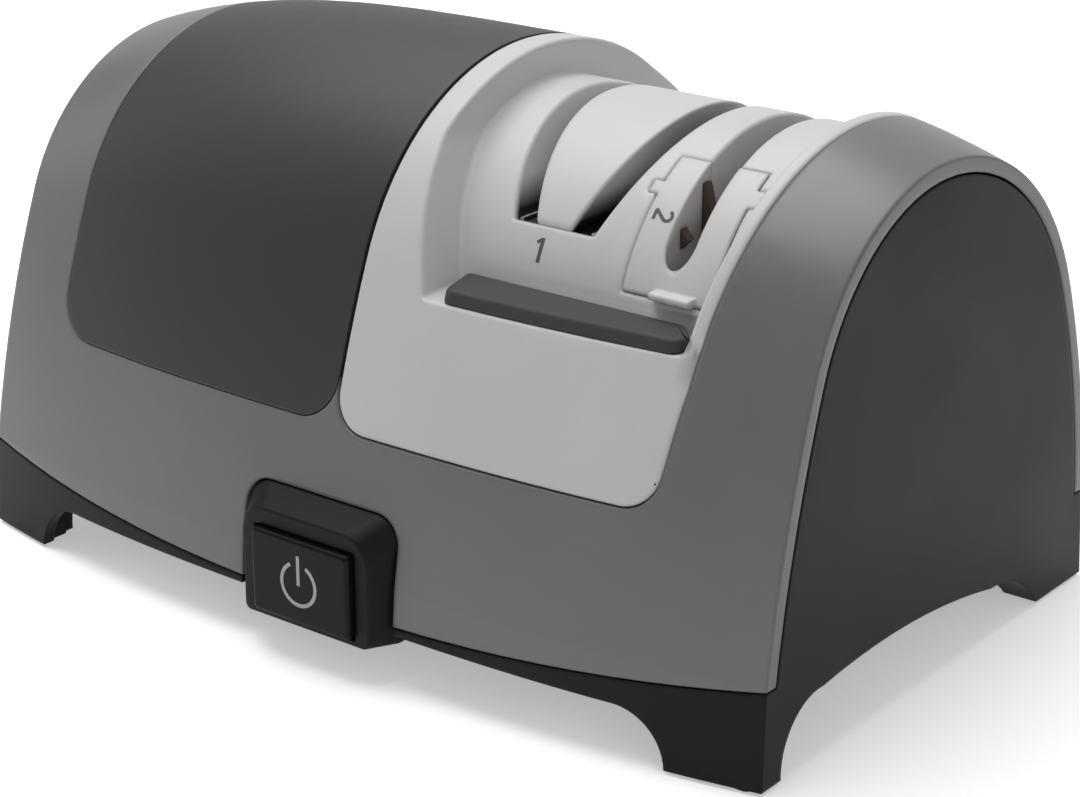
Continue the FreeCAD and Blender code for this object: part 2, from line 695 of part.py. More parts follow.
def make_switch_housing():
    low = size("housing_bottom")
    corner = size("housing_corner")
    face = rounded_front(size("housing_face_half_width"), low, size("housing_face_top"),
                         -size("housing_front"), corner)
    shoulder = rounded_front(size("housing_half_width"), low, size("housing_top"),
                             -size("housing_shoulder"), corner)
    sloped = Part.makeLoft([face, shoulder], True, True)
    straight = Part.Face(shoulder).extrude(V(0, size("housing_shoulder") - size("housing_back"), 0))
    body = sloped.fuse(straight)
    gap = size("button_gap")
    half = size("button_width") / 2 + gap
    middle = size("divide_x")
    bottom = size("button_bottom")
    top = bottom + size("button_height")
    body = body.cut(block(middle - half, middle + half, -90, 0, bottom - gap, top + gap))
    relief = 2.2
    body = body.cut(block(middle - half - relief, middle + half + relief, -size("housing_shoulder"), 0,
                          bottom - gap, top + gap + relief))
    return solids_of(body)


def pipe_run(points, radius):
    """A round lead: straight runs with a ball at each turn."""
    pieces = []
    for start, stop in zip(points, points[1:]):
        run = stop - start
        pieces.append(Part.makeCylinder(radius, run.Length, start, run))
    for turn in points[1:-1]:
        pieces.append(Part.makeSphere(radius, turn))
    return solids_of(pieces[0].fuse(pieces[1:]))


plate_top = size("plate_bottom") + size("plate_thickness")
lead_height = plate_top + size("lead_radius") + 0.3


def make_lead_to_switch():
    x = size("divide_x") + 4
    block_end = size("block_left_x")
    y = size("block_y") + 3
    return pipe_run([V(block_end, y, lead_height), V(x, y, lead_height),
                     V(x, -size("switch_back"), lead_height)], size("lead_radius"))


def make_lead_to_motor():
    x = -(size("stack_x") - size("stack_length") / 2 - size("coil_wall") - 3)
    block_end = size("block_left_x")
    y = size("block_y") + 6
    coil_end = -size("stack_x") + size("stack_length") / 2 + size("coil_wall") + size("coil_gap")
    return pipe_run([V(block_end, y, lead_height), V(x + 3, y, lead_height), V(x + 3, 8, lead_height),
                     V(x + 3, 8, size("stack_bottom") + 4), V(coil_end, 8, size("stack_bottom") + 4)],
                    size("lead_radius"))


COMPUTED = [
    ("upper_shell", make_upper_shell), ("base_housing", make_base_housing),
    ("bottom_plate", make_bottom_plate), ("rubber_feet", make_rubber_feet),
    ("shell_screws", make_shell_screws), ("plate_screws", make_plate_screws), ("mount_screws", make_mount_screws),
    ("motor_cover", make_motor_cover), ("sharpening_deck", make_sharpening_deck),
    ("coarse_guide_wedge", make_coarse_guide_wedge), ("blade_rest_pad", make_blade_rest_pad),
    ("fine_cartridge", make_fine_cartridge), ("cartridge_screw", make_cartridge_screw),
    ("switch_housing", make_switch_housing), ("lead_to_switch", make_lead_to_switch),
    ("lead_to_motor", make_lead_to_motor),
]
for label, make in COMPUTED:
    node(feature(label, make()), label)
for name in STONES:
    label = "ceramic_stone_" + name.split("_")[0]
    node(feature(label, stone_bar(name, 0.0)), label)


# Pieces with plain sketches, each on its own body.

def plane_of(body, role):
    return next(item for item in body.Origin.OriginFeatures if item.Role == role)


def sketch_on(body, role, name, lift="0"):
    drawing = body.newObject("Sketcher::SketchObject", name)
    drawing.AttachmentSupport = [(plane_of(body, role), "")]
    drawing.MapMode = "FlatFace"
    drawing.setExpression("AttachmentOffset.Base.z", linked(lift))
    return drawing


def draw_circle(drawing, radius):
    index = drawing.addGeometry(Part.Circle(V(0, 0, 0), V(0, 0, 1), 10 + drawing.GeometryCount), False)
    drawing.addConstraint(Sketcher.Constraint("Coincident", index, 3, -1, 1))
    drawing.addConstraint(Sketcher.Constraint("Radius", index, 10 + index))
    drawing.setExpression("Constraints[%d]" % (drawing.ConstraintCount - 1), linked(radius))


def draw_rectangle(drawing, width, height):
    """A rectangle centred on the sketch's origin."""
    corners = [V(-5, -4, 0), V(5, -4, 0), V(5, 4, 0), V(-5, 4, 0)]
    first = drawing.GeometryCount
    for index in range(4):
        drawing.addGeometry(Part.LineSegment(corners[index], corners[(index + 1) % 4]), False)
    for index in range(4):
        drawing.addConstraint(Sketcher.Constraint("Coincident", first + index, 2, first + (index + 1) % 4, 1))
    drawing.addConstraint(Sketcher.Constraint("Horizontal", first))
    drawing.addConstraint(Sketcher.Constraint("Horizontal", first + 2))
    drawing.addConstraint(Sketcher.Constraint("Vertical", first + 1))
    drawing.addConstraint(Sketcher.Constraint("Vertical", first + 3))
    drawing.addConstraint(Sketcher.Constraint("Symmetric", first, 1, first + 2, 1, -1, 1))
    drawing.addConstraint(Sketcher.Constraint("Distance", first, 10.0))
    drawing.setExpression("Constraints[%d]" % (drawing.ConstraintCount - 1), linked(width))
    drawing.addConstraint(Sketcher.Constraint("Distance", first + 1, 8.0))
    drawing.setExpression("Constraints[%d]" % (drawing.ConstraintCount - 1), linked(height))


def pad(body, drawing, length, name, middle=False):
    item = body.newObject("PartDesign::Pad", name)
    item.Profile = drawing
    item.setExpression("Length", linked(length))
    item.Midplane = middle
    drawing.Visibility = False
    return item


def pocket(body, drawing, length, name, middle=False):
    item = body.newObject("PartDesign::Pocket", name)
    item.Profile = drawing
    item.setExpression("Length", linked(length))
    item.Midplane = middle
    drawing.Visibility = False
    return item


def ring_body(label, outer, inner, length, x, z="shaft_height"):
    """A washer-shaped piece on the shaft line, from x towards +X."""
    body = doc.addObject("PartDesign::Body", label)
    drawing = sketch_on(body, "YZ_Plane", label + "_ring")
    draw_circle(drawing, outer)
    draw_circle(drawing, inner)
    pad(body, drawing, length, label + "_pad")
    place(body, x, "0", z)
    return node(body, label)


bore = "shaft_radius + seat_gap"
wheel_left = "slot_middle_x - wheel_spread / 2"
ring_body("grinding_wheel_left", "wheel_radius", "hub_radius + seat_gap", "wheel_thickness", wheel_left)
ring_body("grinding_wheel_right", "wheel_radius", "hub_radius + seat_gap", "wheel_thickness",
          "slot_middle_x + wheel_spread / 2 - wheel_thickness")
ring_body("wheel_spacer", "hub_radius + 6", "hub_radius + seat_gap",
          "wheel_spread - 2 * wheel_thickness", wheel_left + " + wheel_thickness")
stator_end = "-stack_x + stack_length / 2"
stator_start = "-stack_x - stack_length / 2"
ring_body("rotor", "bore_radius - air_gap", bore, "stack_length + 2", stator_start + " - 1")

hub_flange = rod_x("hub_flange", "flange_radius", "flange_thickness", wheel_left + " - flange_thickness")
hub_sleeve = rod_x("hub_sleeve", "hub_radius", "wheel_spread - 0.2", wheel_left)
hub_bore = rod_x("hub_bore", bore, "60", wheel_left + " - 20")
node(cut("wheel_hub", fuse("hub_solid", [hub_flange, hub_sleeve]), hub_bore), "wheel_hub")

nut_solid = doc.addObject("Part::Prism", "nut_solid")
nut_solid.Polygon = 6
bind(nut_solid, Circumradius="nut_radius", Height="nut_thickness")
place(nut_solid, "slot_middle_x + wheel_spread / 2", "0", "shaft_height", AXIS_X)
nut_bore = rod_x("nut_bore", bore, "20", "slot_middle_x")
node(cut("wheel_nut", nut_solid, nut_bore), "wheel_nut")

shaft = rod_x("motor_shaft", "shaft_radius", "shaft_left_x + shaft_right_x", "-shaft_left_x")
node(shaft, "motor_shaft")

# Cooling fan: a hub and straight blades in a circle.
fan = doc.addObject("PartDesign::Body", "cooling_fan")
fan_ring = sketch_on(fan, "YZ_Plane", "fan_ring")
draw_circle(fan_ring, "fan_hub")
draw_circle(fan_ring, bore)
fan_core = pad(fan, fan_ring, "fan_length", "fan_core")
blade = fan.newObject("PartDesign::AdditiveBox", "fan_blade")
bind(blade, Length="fan_length - 2", Width="fan_radius - fan_hub + 1", Height="blade_thickness")
blade.setExpression("AttachmentOffset.Base.x", linked("1"))
blade.AttachmentSupport = [(plane_of(fan, "XY_Plane"), "")]
blade.MapMode = "FlatFace"
blade.setExpression("AttachmentOffset.Base.y", linked("fan_hub - 1"))
doc.recompute()
blades = fan.newObject("PartDesign::PolarPattern", "fan_blades_round")
blades.Originals = [blade]
blades.Axis = (next(item for item in fan.Origin.OriginFeatures if item.Role == "X_Axis"), [""])
blades.Angle = 360
blades.setExpression("Occurrences", linked("fan_blades"))
fan.Tip = blades
place(fan, "-fan_x - fan_length / 2", "0", "shaft_height")
node(fan, "cooling_fan")

# Stator stack: a plate outline with the rotor's bore and the coil's window.
stack = doc.addObject("PartDesign::Body", "stator_plates")
stack_plate = sketch_on(stack, "YZ_Plane", "stack_plate")
draw_rectangle(stack_plate, "2 * stack_half_depth", "stack_top - stack_bottom")
pad(stack, stack_plate, "stack_length", "stack_pad")
place(stack, stator_start, "0", "(stack_top + stack_bottom) / 2")
stack_bore = rod_x("stack_bore", "bore_radius", "stack_length + 20", stator_start + " - 10")
stack_window = box("stack_window", "stack_length + 20", "2 * window_half_depth", "window_height",
                   stator_start + " - 10", "-window_half_depth", "stack_bottom + leg_height")
bored_stack = cut("bored_stack", stack, stack_bore)
node(cut("wound_stack", bored_stack, stack_window), "stator_core")

coil_solid = box("coil_solid", "stack_length + 2 * coil_gap + 2 * coil_wall", "2 * coil_half_depth",
                 "leg_height + 2 * coil_gap + 2 * coil_wall", stator_start + " - coil_gap - coil_wall",
                 "-coil_half_depth", "stack_bottom - coil_gap - coil_wall")
coil_hole = box("coil_hole", "stack_length + 2 * coil_gap", "4 * coil_half_depth",
                "leg_height + 2 * coil_gap", stator_start + " - coil_gap", "-2 * coil_half_depth",
                "stack_bottom - coil_gap")
coil = cut("coil_ring", coil_solid, coil_hole)
node(coil, "stator_coil")


def end_bracket(label, face_x, sign):
    """A bar across the stack's end, on two feet, with the bush's bore."""
    start = "(%s)" % face_x
    bar_x = start + " + bracket_reach" if sign > 0 else start + " - bracket_reach - bracket_thickness"
    foot_x = start if sign > 0 else start + " - bracket_reach"
    bar = box(label + "_bar", "bracket_thickness", "2 * stack_half_depth", "2 * bracket_half_height",
              bar_x, "-stack_half_depth", "shaft_height - bracket_half_height")
    feet = [box(label + "_foot_" + word, "bracket_reach", "8", "2 * bracket_half_height", foot_x,
                y, "shaft_height - bracket_half_height")
            for word, y in (("front", "-stack_half_depth"), ("rear", "stack_half_depth - 8"))]
    solid = fuse(label + "_solid", [bar] + feet)
    hole = rod_x(label + "_hole", "bush_radius", "40", start + " - 20")
    node(cut(label + "_cut", solid, hole), label)
    ring_body(label.replace("bracket", "bush"), "bush_radius - seat_gap", "shaft_radius + running_gap",
              "bracket_thickness", bar_x)


end_bracket("end_bracket_right", stator_end, 1)
end_bracket("end_bracket_left", stator_start, -1)

for word, mount_y in (("front", "-stack_half_depth"), ("rear", "stack_half_depth - mount_depth")):
    top_part = box("mount_top_" + word, "stack_length - 2", "mount_depth",
                   "stack_bottom - plate_bottom - plate_thickness", stator_start + " + 1", mount_y,
                   "plate_bottom + plate_thickness")
    foot_part = box("mount_foot_" + word, "stack_length + 18", "mount_depth", "mount_foot",
                    stator_start + " - 9", mount_y, "plate_bottom + plate_thickness")
    mount = fuse("mount_solid_" + word, [top_part, foot_part])
    holes = fuse("mount_holes_" + word, [
        rod_z("mount_hole_%s_%s" % (word, end), "screw_hole", "10", x,
              mount_y + " + mount_depth / 2", "plate_bottom")
        for end, x in (("left", stator_start + " - 5"), ("right", stator_end + " + 5"))])
    node(cut("motor_mount_cut_" + word, mount, holes), "motor_mount_" + word)

# Wheel guard: an open-topped box round the grinding wheels.
guard_height = "slot_floor - well_floor - guard_gap - plate_bottom - plate_thickness"
guard_outer = box("guard_outer", "guard_right_x - guard_left_x", "2 * guard_half_depth", guard_height,
                  "guard_left_x", "-guard_half_depth", "plate_bottom + plate_thickness")
guard_inner = box("guard_inner", "guard_right_x - guard_left_x - 2 * guard_wall",
                  "2 * guard_half_depth - 2 * guard_wall", guard_height, "guard_left_x + guard_wall",
                  "-guard_half_depth + guard_wall", "plate_bottom + plate_thickness + guard_wall")
guard_pass = rod_x("guard_pass", "guard_hole", "60", "guard_left_x - 10")
node(cut("guard_shell", cut("guard_hollow", guard_outer, guard_inner), guard_pass), "wheel_guard")

pedestal_solid = box("pedestal_solid", "pedestal_thickness", "2 * pedestal_half_depth",
                     "shaft_height + bush_radius + 3 - plate_bottom - plate_thickness",
                     "pedestal_x - pedestal_thickness / 2", "-pedestal_half_depth",
                     "plate_bottom + plate_thickness")
pedestal_hole = rod_x("pedestal_hole", "bush_radius", "20", "pedestal_x - 10")
node(cut("pedestal_cut", pedestal_solid, pedestal_hole), "bearing_pedestal")
ring_body("pedestal_bush", "bush_radius - seat_gap", "shaft_radius + running_gap", "pedestal_thickness",
          "pedestal_x - pedestal_thickness / 2")

# Power button: a block with softened front edges.
button = doc.addObject("PartDesign::Body", "power_button")
button_face = sketch_on(button, "XZ_Plane", "button_face")
draw_rectangle(button_face, "button_width", "button_height")
button_pad = pad(button, button_face, "button_front - button_back", "button_pad")
place(button, "divide_x", "-button_back", "button_bottom + button_height / 2")
doc.recompute()
low_face = min(button_pad.Shape.Faces, key=lambda face: face.CenterOfMass.y)
front_edges = []
for index, edge in enumerate(button_pad.Shape.Edges, start=1):
    if abs(edge.BoundBox.YMin - low_face.CenterOfMass.y) < 1e-4 and edge.BoundBox.YLength < 1e-4:
        front_edges.append("Edge%d" % index)
softened = button.newObject("PartDesign::Fillet", "button_edges")
softened.Base = (button_pad, front_edges)
softened.setExpression("Radius", linked("button_edge"))
button.Tip = softened
node(button, "power_button")

spring_solid = rod_y("spring_solid", "spring_radius", "button_back - switch_front", "divide_x",
                     "-button_back", "plate_bottom + plate_thickness + switch_height / 2")
spring_hole = rod_y("spring_hole", "spring_radius - 0.7", "button_back - switch_front + 2", "divide_x",
                    "-button_back - 1", "plate_bottom + plate_thickness + switch_height / 2")
node(cut("button_spring", spring_solid, spring_hole), "button_spring")
node(box("power_switch", "switch_width", "switch_front - switch_back", "switch_height",
         "divide_x - switch_width / 2", "-switch_front", "plate_bottom + plate_thickness"), "power_switch")

# Cord gland through the rear wall, its clamp and the terminal block.
gland_tube = rod_y("gland_tube", "gland_radius", "gland_back - gland_front", "gland_x", "gland_front",
                   "gland_height")
gland_flange = rod_y("gland_flange", "gland_collar", "2.5", "gland_x", "gland_front", "gland_height")
gland_hole = rod_y("gland_hole", "gland_bore", "60", "gland_x", "gland_front - 10", "gland_height")
node(cut("gland_cut", fuse("gland_solid", [gland_tube, gland_flange]), gland_hole), "cord_gland")
node(box("cord_clamp", "16", "7", "gland_height - gland_bore - plate_bottom - plate_thickness",
         "gland_x - 8", "gland_front - 7.5", "plate_bottom + plate_thickness"), "cord_clamp")
node(box("terminal_block", "block_length", "block_depth", "block_height", "block_left_x", "block_y",
         "plate_bottom + plate_thickness"), "terminal_block")


def guide_spring(label, sign):
    """A thin wire along a coarse slot's floor, beside the wedge."""
    x = "slot_middle_x %s (wedge_half_foot + slot_width - 0.75)" % ("+" if sign > 0 else "-")
    node(rod_y(label, "0.45", "2 * slot_half_length - 3", x, "-slot_half_length + 1.5",
               "slot_floor + 0.5"), label)


guide_spring("guide_spring_left", -1)
guide_spring("guide_spring_right", 1)

doc.recompute()
faults = []
for item in doc.Objects:
    if "Invalid" in item.State or "Error" in item.State:
        faults.append("%s is in state %s" % (item.Name, item.State))
for item in NODES:
    if item.Shape.isNull() or not item.Shape.isValid():
        faults.append("%s has no valid shape" % item.Label)
if faults:
    raise RuntimeError("; ".join(faults))

os.makedirs("parts", exist_ok=True)
for item in NODES:
    item.Shape.exportStep("parts/%s.step" % item.Label)
    print("%-22s solids %2d volume %10.1f" % (item.Label, len(item.Shape.Solids), item.Shape.Volume))
print(len(NODES), "nodes")
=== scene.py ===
"""Looks of the electric knife sharpener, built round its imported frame.

Lengths in the piece functions are millimetres, as in the part's source, and become metres when a
mesh is made. X runs along the motor shaft, Y from the switch side to the rear, Z up.
"""
import json
import math

import bmesh
import bpy
import numpy as np
from mathutils import Matrix, Vector


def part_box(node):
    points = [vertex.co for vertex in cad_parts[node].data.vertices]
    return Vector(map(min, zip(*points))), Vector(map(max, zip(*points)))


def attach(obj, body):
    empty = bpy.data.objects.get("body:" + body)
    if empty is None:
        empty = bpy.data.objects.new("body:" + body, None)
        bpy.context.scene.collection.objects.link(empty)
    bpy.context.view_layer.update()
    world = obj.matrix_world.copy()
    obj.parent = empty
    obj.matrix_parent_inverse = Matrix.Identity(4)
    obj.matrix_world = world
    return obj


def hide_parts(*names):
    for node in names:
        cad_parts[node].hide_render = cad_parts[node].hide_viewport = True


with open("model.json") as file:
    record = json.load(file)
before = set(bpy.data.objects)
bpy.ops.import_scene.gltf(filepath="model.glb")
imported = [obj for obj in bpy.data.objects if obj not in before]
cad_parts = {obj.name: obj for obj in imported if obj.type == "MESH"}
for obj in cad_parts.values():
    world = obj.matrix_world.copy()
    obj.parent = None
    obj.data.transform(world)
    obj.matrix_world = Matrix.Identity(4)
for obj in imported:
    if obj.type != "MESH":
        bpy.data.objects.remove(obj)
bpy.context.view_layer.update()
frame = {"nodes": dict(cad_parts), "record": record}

MM = 0.001

# The deck's round hump: its radius, and how high its axis is.
HUMP_RADIUS, HUMP_AXIS = 43.6, 71.8


# Finishes. Their patterns read Object coordinates, so they stay put on their pieces.

def finish(name, colour, roughness, specular=0.5, metallic=0.0):
    """A material, its node tree, its shader, and the Object coordinates that its patterns read."""
    material = bpy.data.materials.new(name)
    material.use_nodes = True
    tree = material.node_tree
    shader = tree.nodes["Principled BSDF"]
    shader.inputs["Base Color"].default_value = (*colour, 1)
    shader.inputs["Roughness"].default_value = roughness
    shader.inputs["Metallic"].default_value = metallic
    shader.inputs["Specular IOR Level"].default_value = specular
    where = tree.nodes.new("ShaderNodeTexCoord").outputs["Object"]
    return material, tree, shader, where


def stretched(tree, where, scale):
    """Coordinates multiplied by a factor of their own along each axis."""
    mapping = tree.nodes.new("ShaderNodeMapping")
    mapping.inputs["Scale"].default_value = scale
    tree.links.new(where, mapping.inputs["Vector"])
    return mapping.outputs["Vector"]


def noise(tree, where, scale, detail=4.0, roughness=0.55):
    """Cloudy pattern whose features are about 1/scale metres across."""
    node = tree.nodes.new("ShaderNodeTexNoise")
    node.inputs["Scale"].default_value = scale
    node.inputs["Detail"].default_value = detail
    node.inputs["Roughness"].default_value = roughness
    tree.links.new(where, node.inputs["Vector"])
    return node.outputs["Fac"]


def cells(tree, where, scale):
    """Pattern of packed grains about 1/scale metres across, low in each grain's middle."""
    node = tree.nodes.new("ShaderNodeTexVoronoi")
    node.inputs["Scale"].default_value = scale
    tree.links.new(where, node.inputs["Vector"])
    return node.outputs["Distance"]


def bands(tree, where, direction, scale, distortion):
    """Bands that follow one another along one axis."""
    node = tree.nodes.new("ShaderNodeTexWave")
    node.bands_direction = direction
    node.inputs["Scale"].default_value = scale
    node.inputs["Distortion"].default_value = distortion
    tree.links.new(where, node.inputs["Vector"])
    return node.outputs["Fac"]


def maths(tree, operation, *values):
    """The result of one operation on plain numbers or other nodes' values."""
    node = tree.nodes.new("ShaderNodeMath")
    node.operation = operation
    for socket, value in zip(node.inputs, values):
        if isinstance(value, float):
            socket.default_value = value
        else:
            tree.links.new(value, socket)
    return node.outputs[0]


def between(tree, pattern, low, high, from_low=0.3, from_high=0.7):
    """The pattern's values from from_low to from_high, carried to the range low to high."""
    node = tree.nodes.new("ShaderNodeMapRange")
    node.inputs["From Min"].default_value = from_low
    node.inputs["From Max"].default_value = from_high
    node.inputs["To Min"].default_value = low
    node.inputs["To Max"].default_value = high
    tree.links.new(pattern, node.inputs["Value"])
    return node.outputs["Result"]


def shades(tree, pattern, first, last, from_low=0.3, from_high=0.7):
    """A colour that goes from first to last as the pattern goes from from_low to from_high."""
    ramp = tree.nodes.new("ShaderNodeValToRGB")
    ramp.color_ramp.elements[0].position = from_low
    ramp.color_ramp.elements[0].color = (*first, 1)
    ramp.color_ramp.elements[1].position = from_high
    ramp.color_ramp.elements[1].color = (*last, 1)
    tree.links.new(pattern, ramp.inputs["Fac"])
    return ramp.outputs["Color"]


def relief(tree, shader, pattern, height, edge=0.0):
    """Shading as if the surface rose by height metres where the pattern is high, with edges
    shaded as if rounded by edge metres."""
    bump = tree.nodes.new("ShaderNodeBump")
    bump.inputs["Distance"].default_value = height
    tree.links.new(pattern, bump.inputs["Height"])
    if edge > 0:
        soft = tree.nodes.new("ShaderNodeBevel")
        soft.samples = 6
        soft.inputs["Radius"].default_value = edge
        tree.links.new(soft.outputs["Normal"], bump.inputs["Normal"])
    tree.links.new(bump.outputs["Normal"], shader.inputs["Normal"])


def tint(colour, factor):
    """The colour times factor, no part of it over 1."""
    return tuple(min(1.0, part * factor) for part in colour)


def moulded(name, colour, roughness, grain=5200.0, depth=0.00002, mottle=0.06, specular=0.4,
            edge=0.0006, painted_slot_shade=False):
    """Moulded plastic: a fine spark-eroded grain, a slow change of tone and gloss, and painted shade in
    the slots where asked.
    """
    material, tree, shader, where = finish(name, colour, roughness, specular)
    slow = noise(tree, where, scale=26.0, detail=5.0)
    fine = noise(tree, where, grain, detail=3.0, roughness=0.6)
    tone = shades(tree, slow, tint(colour, 1 - mottle), tint(colour, 1 + mottle))
    if painted_slot_shade:
        tone = slot_painted_shade(tree, where, tone)
    tree.links.new(tone, shader.inputs["Base Color"])
    tree.links.new(between(tree, slow, roughness - 0.04, roughness + 0.05), shader.inputs["Roughness"])
    relief(tree, shader, fine, depth, edge)
    return material


# Painted shade in the slots, in millimetres: how far inside the hump's round it starts and is full, the
# heights where it is full and where it ends, the x where it fades from the coarse slots' share,
# which is all of it, to the fine slot's.
SHADE_START, SHADE_FULL = 0.5, 1.6
SHADE_LOW, SHADE_HIGH = 96.5, 102.5
COARSE_END, FINE_START = 55.0, 57.0
FINE_SHARE = 0.3
PAINTED_SHADE_DARK = (0.012, 0.011, 0.011)


def slot_painted_shade(tree, where, tone):
    """The tone, with shade painted dark down in the slots: inside the hump's round and near the slot
    floors, and less so in the fine slot at the right."""
    axis = tree.nodes.new("ShaderNodeMapping")
    axis.inputs["Location"].default_value = (0, 0, -HUMP_AXIS * MM)
    axis.inputs["Scale"].default_value = (0, 1, 1)
    tree.links.new(where, axis.inputs["Vector"])
    away = tree.nodes.new("ShaderNodeVectorMath")
    away.operation = "LENGTH"
    tree.links.new(axis.outputs["Vector"], away.inputs[0])
    inside = between(tree, away.outputs["Value"], 1.0, 0.0,
                     (HUMP_RADIUS - SHADE_FULL) * MM, (HUMP_RADIUS - SHADE_START) * MM)
    split = tree.nodes.new("ShaderNodeSeparateXYZ")
    tree.links.new(where, split.inputs["Vector"])
    low = between(tree, split.outputs["Z"], 1.0, 0.0, SHADE_LOW * MM, SHADE_HIGH * MM)
    coarse = between(tree, split.outputs["X"], 1.0, FINE_SHARE, COARSE_END * MM, FINE_START * MM)
    share = maths(tree, "MULTIPLY", maths(tree, "MULTIPLY", inside, low), coarse)
    mix = tree.nodes.new("ShaderNodeMix")
    mix.data_type = "RGBA"
    tree.links.new(share, mix.inputs["Factor"])
    tree.links.new(tone, mix.inputs["A"])
    # The colour of the painted shade in the slots' depths.
    mix.inputs["B"].default_value = (*PAINTED_SHADE_DARK, 1)
    return mix.outputs["Result"]


def soft_touch(name, colour, roughness):
    """Soft-touch plastic with very fine lines drawn along X. Its pattern is 0.45 times the lines
    plus a slow change from 0.2 to 0.35."""
    material, tree, shader, where = finish(name, colour, roughness)
    lines = noise(tree, stretched(tree, where, (30, 900, 900)), scale=6.0, detail=3.0)
    slow = noise(tree, where, scale=20.0)
    both = maths(tree, "MULTIPLY_ADD", lines, 0.45, between(tree, slow, 0.2, 0.35))
    tree.links.new(shades(tree, both, tint(colour, 0.86), tint(colour, 1.16)), shader.inputs["Base Color"])
    tree.links.new(between(tree, lines, roughness - 0.05, roughness + 0.07), shader.inputs["Roughness"])
    relief(tree, shader, lines, height=0.00002, edge=0.0006)
    return material


def turned_steel(name, colour, roughness, lines=(900, 900, 60)):
    """Machined metal with fine tool lines along the axis that has the smallest factor."""
    material, tree, shader, where = finish(name, colour, roughness, metallic=1.0)
    marks = noise(tree, stretched(tree, where, lines), scale=5.0)
    tree.links.new(shades(tree, marks, tint(colour, 0.8), tint(colour, 1.15)), shader.inputs["Base Color"])
    tree.links.new(between(tree, marks, roughness - 0.08, roughness + 0.12), shader.inputs["Roughness"])
    relief(tree, shader, marks, height=0.00001)
    return material


def stacked_sheet(name, colour):
    """Thin sheets side by side along X, with a dark line at each joint and uneven gloss."""
    material, tree, shader, where = finish(name, colour, roughness=0.5, metallic=0.9)
    wave = bands(tree, where, "X", scale=320.0, distortion=0.3)
    tree.links.new(shades(tree, wave, tint(colour, 0.35), colour, 0.1, 0.5), shader.inputs["Base Color"])
    tree.links.new(between(tree, noise(tree, where, scale=300.0), 0.35, 0.6), shader.inputs["Roughness"])
    relief(tree, shader, wave, height=0.0001)
    return material


def wound_wire(name, colour):
    """Enamelled wire laid side by side: narrow bands, with painted shade in the valleys between them."""
    material, tree, shader, where = finish(name, colour, roughness=0.3, specular=0.6, metallic=0.4)
    wave = bands(tree, where, "Z", scale=500.0, distortion=0.8)
    # Painted shade darkens the valleys, and the ridge tops are painted lighter.
    tree.links.new(shades(tree, wave, tint(colour, 0.3), tint(colour, 1.2), 0.1, 0.8),
                   shader.inputs["Base Color"])
    relief(tree, shader, wave, height=0.0002)
    return material


def bonded_grain(name, colour, scale, roughness):
    """Abrasive or ceramic grains in a darker bond."""
    material, tree, shader, where = finish(name, colour, roughness, specular=0.4)
    grains = cells(tree, where, scale)
    tree.links.new(shades(tree, grains, tint(colour, 1.4), tint(colour, 0.5), 0.1, 0.8),
                   shader.inputs["Base Color"])
    relief(tree, shader, grains, height=0.0001)
    return material


def cast_metal(name, colour, roughness):
    """Cast or sintered metal: a pitted skin with cloudy tone."""
    material, tree, shader, where = finish(name, colour, roughness, metallic=1.0)
    pits = noise(tree, where, scale=1400.0, detail=6.0)
    cloud = noise(tree, where, scale=90.0)
    tree.links.new(shades(tree, cloud, tint(colour, 0.82), tint(colour, 1.1)), shader.inputs["Base Color"])
    tree.links.new(between(tree, pits, roughness - 0.05, roughness + 0.1), shader.inputs["Roughness"])
    relief(tree, shader, pits, height=0.00006)
    return material


SHELL_GREY = (0.152, 0.151, 0.151)
GRIP_CHARCOAL = (0.025, 0.0245, 0.025)
DECK_GREY = (0.57, 0.57, 0.565)
BASE_BLACK = (0.0060, 0.0056, 0.0058)
BUTTON_BLACK = (0.006, 0.006, 0.0065)
PAD_CHARCOAL = (0.036, 0.036, 0.037)
FOOT_BLACK = (0.02, 0.02, 0.02)
LEAD_BLACK = (0.025, 0.025, 0.026)
NYLON_WHITE = (0.74, 0.74, 0.71)
STONE_BROWN = (0.085, 0.055, 0.045)
WHEEL_GREY = (0.22, 0.19, 0.18)
STEEL_GREY = (0.55, 0.55, 0.56)
WIRE_GREY = (0.62, 0.62, 0.62)
SHEET_GREY = (0.33, 0.33, 0.35)
CAST_GREY = (0.58, 0.58, 0.60)
COPPER = (0.45, 0.18, 0.07)
BRONZE = (0.52, 0.34, 0.16)
MARK_LIGHT = (0.40, 0.40, 0.41)
MARK_DARK = (0.09, 0.09, 0.095)

